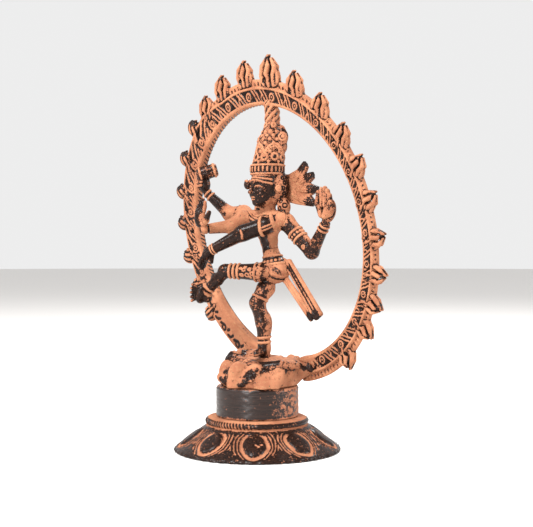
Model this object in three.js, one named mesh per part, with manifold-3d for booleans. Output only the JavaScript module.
// A dancing figure inside an oval flame arch, standing on a small prostrate figure, a mound,
// a turned drum and a nine-petalled lotus foot. Cast brass, in pieces that are pegged and
// brazed together. Millimetres, +Z up, front towards -Y, origin at the middle of the foot's
// resting face.
import * as THREE from 'three';
import { mergeVertices } from 'three/addons/utils/BufferGeometryUtils.js';
import Module from 'manifold-3d';

const wasm = await Module();
wasm.setup();

// Driving dimensions
const GAP = 0.3;                     // brazing gap between neighbouring pieces
const ROUND = 8;                     // facets round a limb
const FOOT_R = 35;                   // lotus foot, at the ground
const FOOT_TOP_R = 20.6;             // lotus foot, under its collar
const FOOT_H = 14.2;
const PETALS = 9;
const DRUM_R = 17.3;
const DRUM_TOP = 27;
const ARCH = { y: 6, z: 93, lean: 8, band: 5, flange: 2.8, bandWidth: 4.6 };
const ARCH_INNER = { x: 5.7, w: -1.6, rx: 45.2, rw: 53.5, tilt: 11.5 };
const ARCH_OUTER = { x: 4.8, w: -1.6, rx: 51.7, rw: 64.3, tilt: 10.7 };
const ARCH_LEGS = { from: -82, to: -109, floor: 28.6 };
const FLAME = {
  high: 9.6, wide: 7.4, thick: 4.2, forward: 0.9, inset: 0.8, lean: 38, shrink: 1.6, apexScale: 1.2,
};
const FLAME_ROOTS = [                // where each flame stands on the rim, in degrees
  66.5, 51, 36.5, 24, 11.5, -1.5, -14, -25, -35.5, -51,
  97, 113, 127, 140, 154, 167.5, 179.5, 192, 203.5, 215,
];
const APEX_ROOT = 81.5;
const FOOT_SOCKET = { x: 0, y: 0, r: 6, deep: 3 };
const DRUM_SOCKET = { x: 2, y: 3, r: 5, deep: 4 };
const SCREW = { x: 10, r: 2, headR: 3.4, headH: 2.6, top: 20.5, sink: 0.8 };

const BRASS = { dark: 0x3a2a28, coated: 0xc98258 };

// ---------------------------------------------------------------- solids
function solidFrom(geometry) {
  const plain = new THREE.BufferGeometry();
  plain.setAttribute('position', geometry.getAttribute('position'));
  if (geometry.index) plain.setIndex(geometry.index);
  const merged = mergeVertices(plain, 1e-4);
  const vertProperties = new Float32Array(merged.getAttribute('position').array);
  const triVerts = new Uint32Array(merged.index.array);
  const kept = [];
  for (let i = 0; i < triVerts.length; i += 3) {
    const [a, b, c] = triVerts.slice(i, i + 3);
    if (a !== b && b !== c && c !== a) kept.push(a, b, c);
  }
  const mesh = new wasm.Mesh({ numProp: 3, vertProperties, triVerts: new Uint32Array(kept) });
  return new wasm.Manifold(mesh);
}

const union = (solids) => solids.reduce((whole, solid) => whole.add(solid));
const cutBy = (solid, tools) => tools.reduce((rest, tool) => rest.subtract(tool), solid);

function placed(geometry, matrix) {
  geometry.applyMatrix4(matrix);
  return solidFrom(geometry);
}

// Tapered bar with round ends, from a to b.
function bar([a, b, ra, rb], grow = 0) {
  const start = new THREE.Vector3(...a);
  const axis = new THREE.Vector3(...b).sub(start);
  const length = axis.length();
  const [r0, r1] = [ra + grow, rb + grow];
  const profile = [];
  for (const turn of [0, 45, 90]) {
    const t = THREE.MathUtils.degToRad(turn);
    profile.push(new THREE.Vector2(r0 * Math.sin(t), -r0 * Math.cos(t)));
  }
  for (const turn of [90, 45, 0]) {
    const t = THREE.MathUtils.degToRad(turn);
    profile.push(new THREE.Vector2(r1 * Math.sin(t), length + r1 * Math.cos(t)));
  }
  const turn = new THREE.Quaternion().setFromUnitVectors(new THREE.Vector3(0, 1, 0), axis.normalize());
  const at = new THREE.Matrix4().compose(start, turn, new THREE.Vector3(1, 1, 1));
  return placed(new THREE.LatheGeometry(profile, ROUND), at);
}

// Ellipsoid at a centre, with three radii and an optional turn in degrees.
function ball([centre, radii, turn = [0, 0, 0]], grow = 0) {
  const euler = new THREE.Euler(...turn.map(THREE.MathUtils.degToRad));
  const at = new THREE.Matrix4().compose(
    new THREE.Vector3(...centre),
    new THREE.Quaternion().setFromEuler(euler),
    new THREE.Vector3(...radii.map((r) => r + grow)),
  );
  return placed(new THREE.SphereGeometry(1, 10, 6), at);
}

// Solid of revolution round a vertical axis at (x, y), from [radius, z] pairs on the axis.
function turned(pairs, x = 0, y = 0, sides = 32) {
  const profile = pairs.map(([r, z]) => new THREE.Vector2(r, z));
  const at = new THREE.Matrix4().makeRotationX(Math.PI / 2).setPosition(x, y, 0);
  return placed(new THREE.LatheGeometry(profile, sides), at);
}

function pin(x, y, low, high, r) {
  return turned([[0, low], [r, low], [r, high], [0, high]], x, y, 12);
}

// A socket in a top face, and the spigot that fills it and reaches up into its own piece.
function socketIn({ x, y, r, deep }, top) {
  return pin(x, y, top - deep - GAP, top + 1, r + GAP);
}

function spigotFor({ x, y, r, deep }, top, reach) {
  return pin(x, y, top - deep, top + reach, r);
}

function block(low, high) {
  const size = high.map((v, i) => v - low[i]);
  const middle = high.map((v, i) => (v + low[i]) / 2);
  return placed(new THREE.BoxGeometry(...size), new THREE.Matrix4().makeTranslation(...middle));
}

// A piece made of bars and balls, grown by a clearance when it is used to cut its neighbours.
function organic({ bars = [], balls = [] }) {
  return (grow = 0) => union([...bars.map((b) => bar(b, grow)), ...balls.map((b) => ball(b, grow))]);
}

// ---------------------------------------------------------------- foot and drum
const boltHoles = (low, high, r) => [-SCREW.x, SCREW.x].map((x) => pin(x, 0, low, high, r));

function petal(index) {
  const turn = THREE.MathUtils.degToRad(-90 + (index * 360) / PETALS);
  const slope = Math.atan2(FOOT_H - 3, FOOT_R - FOOT_TOP_R);
  const at = new THREE.Matrix4()
    .makeRotationZ(turn)
    .multiply(new THREE.Matrix4().makeTranslation(27.2, 0, 6.6))
    .multiply(new THREE.Matrix4().makeRotationY(slope))
    .multiply(new THREE.Matrix4().makeScale(7, 6.2, 1.5));
  return placed(new THREE.SphereGeometry(1, 8, 6), at);
}

function lotusBase() {
  const body = turned([
    [0, 0], [FOOT_R - 0.7, 0], [FOOT_R, 0.5], [FOOT_R - 0.5, 1.3], [FOOT_TOP_R + 0.2, 11.2],
    [FOOT_TOP_R + 0.9, 12], [FOOT_TOP_R + 0.6, 13.4], [FOOT_TOP_R - 1.4, FOOT_H], [0, FOOT_H],
  ]);
  const petals = Array.from({ length: PETALS }, (_, i) => petal(i));
  const holes = boltHoles(-1, FOOT_H + 1, SCREW.r + GAP);
  const sinks = boltHoles(-1, SCREW.sink + SCREW.headH + GAP, SCREW.headR + GAP);
  const level = block([-50, -50, -9], [50, 50, 0]);
  return cutBy(union([body, ...petals]), [...holes, ...sinks, socketIn(FOOT_SOCKET, FOOT_H), level]);
}

function baseDrum() {
  const low = FOOT_H + GAP;
  const body = turned([
    [0, low], [DRUM_R - 0.4, low], [DRUM_R, low + 0.5], [DRUM_R, DRUM_TOP - 0.6],
    [DRUM_R - 0.7, DRUM_TOP], [0, DRUM_TOP],
  ]);
  const spigot = spigotFor(FOOT_SOCKET, FOOT_H, 1.3);
  const holes = boltHoles(low - 1, SCREW.top + GAP, SCREW.r + GAP);
  return cutBy(union([body, spigot]), [...holes, socketIn(DRUM_SOCKET, DRUM_TOP)]);
}

function baseScrew(x) {
  const { r, headR, headH, top, sink } = SCREW;
  const profile = [[0, sink], [headR, sink], [headR, sink + headH], [r, sink + headH], [r, top], [0, top]];
  return turned(profile, x, 0, 12);
}

// ---------------------------------------------------------------- arch
// The arch is drawn in its own plane: x across, w up the plane, and its front along +n.
const archPlane = new THREE.Matrix4()
  .makeTranslation(0, ARCH.y, ARCH.z)
  .multiply(new THREE.Matrix4().makeRotationX(THREE.MathUtils.degToRad(90 + ARCH.lean)));

function ovalPoint(oval, degrees, grow = 0) {
  const t = THREE.MathUtils.degToRad(degrees - oval.tilt);
  const tilt = THREE.MathUtils.degToRad(oval.tilt);
  const [u, v] = [(oval.rx + grow) * Math.cos(t), (oval.rw + grow) * Math.sin(t)];
  return [
    oval.x + u * Math.cos(tilt) - v * Math.sin(tilt),
    oval.w + u * Math.sin(tilt) + v * Math.cos(tilt),
  ];
}

function ovalPath(Kind, oval, grow, steps = 48) {
  const outline = Array.from({ length: steps }, (_, i) => {
    return new THREE.Vector2(...ovalPoint(oval, (i * 360) / steps, grow));
  });
  return new Kind(outline);
}

function hoop(inner, innerGrow, outer, outerGrow, depth, bevel) {
  const shape = ovalPath(THREE.Shape, outer, outerGrow - bevel);
  shape.holes.push(ovalPath(THREE.Path, inner, innerGrow + bevel));
  const geometry = new THREE.ExtrudeGeometry(shape, {
    depth: depth - 2 * bevel,
    bevelEnabled: bevel > 0,
    bevelThickness: bevel,
    bevelSize: bevel,
    bevelSegments: 1,
  });
  geometry.translate(0, 0, -depth / 2 + bevel);
  return placed(geometry, archPlane);
}

// Flames lean upward on the flanks and downward near the mound, and sit deeper in the rim
// the further they are from the top.
function flame(degrees, grow, scale = 1) {
  const fromTop = THREE.MathUtils.euclideanModulo(degrees + 90, 360) - 180;
  const away = Math.abs(fromTop);
  const lean = -Math.sign(fromTop) * FLAME.lean * Math.sin(THREE.MathUtils.degToRad(1.55 * away));
  const depth = Math.sin(THREE.MathUtils.degToRad(0.75 * Math.min(away, 120)));
  const high = (FLAME.high - FLAME.shrink * depth) * scale + grow;
  const half = (FLAME.wide / 2) * scale + grow;
  const outline = [[-0.7, -1.4], [0.7, -1.4], [1, 2], [0.95, 0.5 * high], [0.5, 0.8 * high], [0, high],
    [-0.55, 0.75 * high], [-1, 0.45 * high], [-0.95, 1.6]];
  const shape = new THREE.Shape(outline.map(([across, up]) => new THREE.Vector2(across * half, up)));
  const thick = FLAME.thick + 2 * grow;
  const geometry = new THREE.ExtrudeGeometry(shape, { depth: thick, bevelEnabled: false });
  geometry.translate(0, 0, FLAME.forward - thick / 2);
  geometry.rotateZ(THREE.MathUtils.degToRad(degrees - 90 + lean));
  const [x, w] = ovalPoint(ARCH_OUTER, degrees, -FLAME.inset - 2.4 * depth);
  geometry.translate(x, w, 0);
  return placed(geometry, archPlane);
}

function flameArch(grow = 0) {
  const band = hoop(ARCH_INNER, -grow, ARCH_INNER, ARCH.bandWidth + grow, ARCH.band + 2 * grow, 0.6);
  const flange = hoop(ARCH_INNER, 2, ARCH_OUTER, grow, ARCH.flange + 2 * grow, 0);
  const flames = FLAME_ROOTS.map((degrees) => flame(degrees, grow));
  const apex = flame(APEX_ROOT, grow, FLAME.apexScale);
  const [xr] = ovalPoint(ARCH_INNER, ARCH_LEGS.from);
  const [xl] = ovalPoint(ARCH_INNER, ARCH_LEGS.to);
  const opening = block([xl + grow, -40, 0], [xr - grow, 60, 60]);
  const below = block([-90, -40, 0], [90, 60, ARCH_LEGS.floor - grow]);
  return cutBy(union([band, flange, ...flames, apex]), [opening, below]);
}

// ---------------------------------------------------------------- figure and mound
// The waist, whose lower end plugs into the hips.
const WAIST = [[6.4, 1.7, 80], [5.2, 1.6, 88], 2.9, 3.4];

// Bars are [start, end, start radius, end radius] and balls are [centre, radii, turn].
const FIGURE = {
  hips: {
    bars: [[[7.6, 1.7, 79], [6.2, 1.7, 83], 4.4, 3.2]],
    balls: [[[8.4, 1.6, 75.6], [7.4, 5, 5.8]]],
  },
  torso: {
    bars: [
      WAIST, [[5.2, 1.4, 88], [4.6, 1.1, 92.5], 3.5, 4.3],
      [[-5.6, 2.2, 97.4], [11.4, 1.4, 96.2], 3.5, 3.9], [[4.8, 1.2, 98], [5.4, 0.8, 106], 3.4, 3],
    ],
    balls: [
      [[3.9, 1.1, 94.2], [7.8, 4.6, 5.8]], [[12.2, 3, 101.6], [2.7, 2.9, 3.8]],
      [[-1.6, 4, 101.6], [2.7, 2.8, 3.6]],
    ],
  },
  standing_leg: {
    bars: [
      [[6.4, 1, 73], [4.6, 0.4, 68], 2, 3.6], [[4.6, 0.4, 68], [2.5, -2.8, 61.8], 3.7, 3.1],
      [[2.5, -2.8, 61.8], [4.2, -1.2, 54], 3.1, 3], [[4.2, -1.2, 54], [3.8, 0.2, 43.5], 3, 2.5],
      [[3.8, 0.2, 43.5], [3.8, 0.6, 35.5], 2.4, 1.8], [[3.9, 0.6, 42], [5, -6.4, 41], 2, 1.5],
    ],
  },
  raised_leg: {
    bars: [
      [[9, -0.5, 75], [4.5, -4.2, 74.6], 2.6, 3.5], [[4.5, -4.2, 74.6], [-8.4, -10, 75.1], 3.6, 2.5],
      [[-8.4, -10, 75.1], [-18.4, -11.5, 66.6], 2.5, 2.1],
    ],
    balls: [[[-20, -13.7, 65.2], [2.5, 4.3, 4.4], [0, 20, 0]]],
  },
  front_right_arm: {
    bars: [
      [[-3.5, 0, 97], [-7.4, -0.8, 97.2], 1.6, 2.8], [[-7.4, -0.8, 97.2], [-12.9, -3, 93.8], 2.9, 2.5],
      [[-12.9, -3, 93.8], [-19, -12.6, 92.6], 2.5, 1.9], [[-18.4, -13.6, 94.2], [-11, -16.4, 99.4], 1.6, 1.1],
    ],
    balls: [[[-20.2, -13.8, 99], [2.9, 1.8, 6.6], [0, 6, 0]]],
  },
  front_left_arm: {
    bars: [
      [[9, 0.5, 94.6], [9.5, -3.6, 93.6], 1.6, 2.9], [[9.5, -3.6, 93.6], [1.2, -9.8, 90.2], 3, 2.9],
      [[1.2, -9.8, 90.2], [-13.7, -14.5, 83.4], 2.9, 1.9],
    ],
    balls: [[[-16, -15.5, 80.2], [1.8, 2.6, 4.8], [0, 22, 0]]],
  },
  rear_right_arm: {
    bars: [
      [[-5, 3.5, 98], [-12, 4.6, 99.6], 1.8, 3.2], [[-12, 4.6, 99.6], [-21.6, 6, 99.4], 3.2, 2.9],
      [[-21.6, 6, 99.4], [-30.4, 1, 108.6], 2.9, 1.8],
    ],
    balls: [[[-31, 0, 112.4], [2.6, 2.8, 3.2]]],
  },
  rear_left_arm: {
    bars: [
      [[9.5, 2.2, 96.4], [13.5, 3, 95.4], 1.8, 3.4], [[13.5, 3, 95.4], [25.6, 5, 83], 3.5, 2.8],
      [[25.6, 5, 83], [34.8, 2.5, 94.4], 2.8, 2],
    ],
    balls: [[[37.4, 1.6, 100.4], [4.2, 2.3, 6]]],
  },
  head: {
    balls: [
      [[5.4, -0.7, 110.2], [6.3, 6.6, 7.8]], [[7.2, 2.6, 109.8], [6.2, 5.4, 7.8]],
      [[12.4, 1.4, 110.2], [1.8, 2.4, 3]], [[-1.6, -2.2, 109.6], [1.9, 1.8, 2.2]],
    ],
  },
  hand_flame: {
    bars: [
      [[37.6, -1.4, 102], [38.6, -1.2, 107.6], 1.9, 0.9], [[37.4, -1.4, 103], [35.4, -1.2, 108.4], 1.5, 0.7],
    ],
  },
  hand_drum: {
    bars: [[[-31.8, -2.4, 117.6], [-26.6, 2.6, 119.4], 2.8, 2.8]],
  },
  sash_outer: {
    bars: [[[13, 2, 78.6], [15.4, 2, 78.4], 1.6, 1.9], [[15.4, 2, 78.4], [32.6, 1, 56.9], 1.9, 2.3]],
  },
  sash_inner: {
    bars: [[[12, 2, 74], [14.4, 2, 71.2], 1.3, 1.5], [[14.4, 2, 71.2], [29.2, 1, 56], 1.5, 1.7]],
  },
  dwarf: {
    bars: [
      [[-5, -5.6, 36.4], [6, -8, 34.6], 3, 3.3], [[6, -8, 34.6], [15.6, -2.4, 36.6], 2.9, 2.1],
      [[15.6, -2.4, 36.6], [19.6, 2.4, 36.4], 2, 1.5], [[3, -9.8, 34], [7.8, -12.6, 31.6], 2.2, 2],
      [[-6, -7, 34], [-9.4, -9, 30], 2, 2],
    ],
    balls: [[[-8.4, -5.4, 38.2], [3.4, 3.2, 3.2]]],
  },
  mound: {
    balls: [
      [[0.8, -0.6, 30], [15.6, 15, 8.6]], [[4, 6, 31.5], [15.5, 13, 8.7]],
      [[14, 9, 33.4], [10, 8.4, 6]], [[-9, 9.4, 34.4], [8.4, 8, 6.6]],
    ],
  },
};

const grown = Object.fromEntries(Object.entries(FIGURE).map(([name, parts]) => [name, organic(parts)]));

// Crown: a tenon in the skull, a headband, a waisted cap and a spire, on an axis that leans back.
const CROWN = {
  tenon: { r: 4, low: 112 },
  skin: [
    [6.8, 114.8], [7.3, 118.6], [6.6, 122], [5.7, 125.6], [5.1, 128.4], [4.5, 130.6], [3.4, 133.4], [3, 136.4],
    [2.8, 140], [2.6, 143.6],
  ],
  lean: { x: [0.12, -8.5], y: [-0.04, 5.2] },
  lump: { across: 5.8, z: 129, radii: [2.5, 2, 3.2] },
};

function crown(grow = 0) {
  const { tenon, skin, lean, lump } = CROWN;
  const [low, high] = [skin[0][1] - grow, skin.at(-1)[1] + grow];
  const side = skin.slice(1, -1).map(([r, z]) => [r + grow, z]);
  const profile = [
    [0, tenon.low - grow], [tenon.r + grow, tenon.low - grow], [tenon.r + grow, low],
    [skin[0][0] + grow, low], ...side, [skin.at(-1)[0] + grow, high], [0, high],
  ];
  const shear = new THREE.Matrix4().set(1, 0, ...lean.x, 0, 1, ...lean.y, 0, 0, 1, 0, 0, 0, 0, 1);
  const points = profile.map(([r, z]) => new THREE.Vector2(r, z));
  const upright = new THREE.Matrix4().makeRotationX(Math.PI / 2);
  const cone = placed(new THREE.LatheGeometry(points, 20), shear.multiply(upright));
  const middle = lean.x[0] * lump.z + lean.x[1];
  const lumps = [-1, 1].map((way) => ball([[middle + way * lump.across, 1.2, lump.z], lump.radii], grow));
  return union([cone, ...lumps]);
}

const HAIR_FAN_Y = 8;

// Flat plate of hair locks behind the head, with leaf tips to both sides.
function hairFan(grow = 0) {
  const outline = [
    [7, 104.5], [16, 102.6], [23.6, 101.8], [25, 103.4], [22.4, 106.4], [26.2, 109.6], [21.4, 111.2],
    [23.2, 115.4], [18.8, 114.4], [19.4, 119.6], [15.4, 116.6], [11, 115.4], [4, 115.8], [-1.6, 116.6],
    [-5.4, 118.2], [-4.8, 114], [-8.4, 112.6], [-4.8, 109.8], [-7.8, 106.2], [-2, 105],
  ];
  const shape = new THREE.Shape(outline.map(([x, z]) => new THREE.Vector2(x, z)));
  const geometry = new THREE.ExtrudeGeometry(shape, {
    depth: 0.9 + 2 * grow, bevelThickness: 0.45, bevelSize: 0.45, bevelOffset: grow - 0.45, bevelSegments: 1,
  });
  geometry.translate(0, 0, -0.45 - grow);
  const upright = new THREE.Matrix4().makeRotationX(Math.PI / 2).setPosition(0, HAIR_FAN_Y, 0);
  return placed(geometry, upright);
}

function mound(grow = 0) {
  const hill = grown.mound(grow);
  const level = block([-60, -60, 0], [60, 60, DRUM_TOP + GAP]);
  return union([cutBy(hill, [level]), spigotFor(DRUM_SOCKET, DRUM_TOP, 3)]);
}

// Each piece is cut by the grown form of the pieces that seat in it.
const builders = {
  ...grown,
  crown,
  hair_fan: hairFan,
  flame_arch: flameArch,
  mound,
};

const SEATED = {
  standing_leg: [],
  raised_leg: ['standing_leg'],
  front_left_arm: ['rear_left_arm'],
  rear_left_arm: [],
  rear_right_arm: [],
  front_right_arm: ['rear_right_arm'],
  sash_outer: ['raised_leg'],
  sash_inner: ['sash_outer', 'standing_leg', 'raised_leg'],
  hips: ['standing_leg', 'raised_leg', 'sash_outer', 'sash_inner'],
  torso: ['front_left_arm', 'rear_left_arm', 'rear_right_arm', 'front_right_arm'],
  hair_fan: [],
  crown: ['hair_fan'],
  head: ['crown', 'hair_fan', 'torso', 'rear_left_arm', 'rear_right_arm', 'front_left_arm'],
  hand_flame: ['rear_left_arm', 'hair_fan'],
  hand_drum: ['rear_right_arm'],
  flame_arch: ['crown', 'hand_drum', 'rear_right_arm'],
  dwarf: ['standing_leg', 'flame_arch'],
  mound: ['standing_leg', 'flame_arch', 'dwarf'],
};

function fitted(name) {
  const tools = SEATED[name].map((other) => builders[other](GAP));
  if (name === 'torso') tools.push(cutBy(grown.hips(GAP), [bar(WAIST)]));
  if (name === 'hips') tools.push(bar(WAIST, GAP));
  return cutBy(builders[name](), tools);
}

// ---------------------------------------------------------------- assembly
function meshOf(name, solid, dark) {
  const { vertProperties, triVerts } = solid.getMesh();
  const geometry = new THREE.BufferGeometry();
  geometry.setAttribute('position', new THREE.BufferAttribute(new Float32Array(vertProperties), 3));
  geometry.setIndex(new THREE.BufferAttribute(new Uint32Array(triVerts), 1));
  geometry.computeVertexNormals();
  const material = new THREE.MeshStandardMaterial({
    color: dark ? BRASS.dark : BRASS.coated, roughness: dark ? 0.42 : 0.85, metalness: dark ? 0.6 : 0.1,
  });
  const mesh = new THREE.Mesh(geometry, material);
  mesh.name = name;
  return mesh;
}

const DARK = ['raised_leg', 'standing_leg', 'front_left_arm', 'rear_left_arm', 'hand_drum'];
const statue = new THREE.Group();
statue.add(meshOf('lotus_base', lotusBase(), true));
statue.add(meshOf('base_drum', baseDrum(), true));
statue.add(meshOf('base_screw_left', baseScrew(SCREW.x), true));
statue.add(meshOf('base_screw_right', baseScrew(-SCREW.x), true));
Object.keys(SEATED).forEach((name) => statue.add(meshOf(name, fitted(name), DARK.includes(name))));

export default statue;
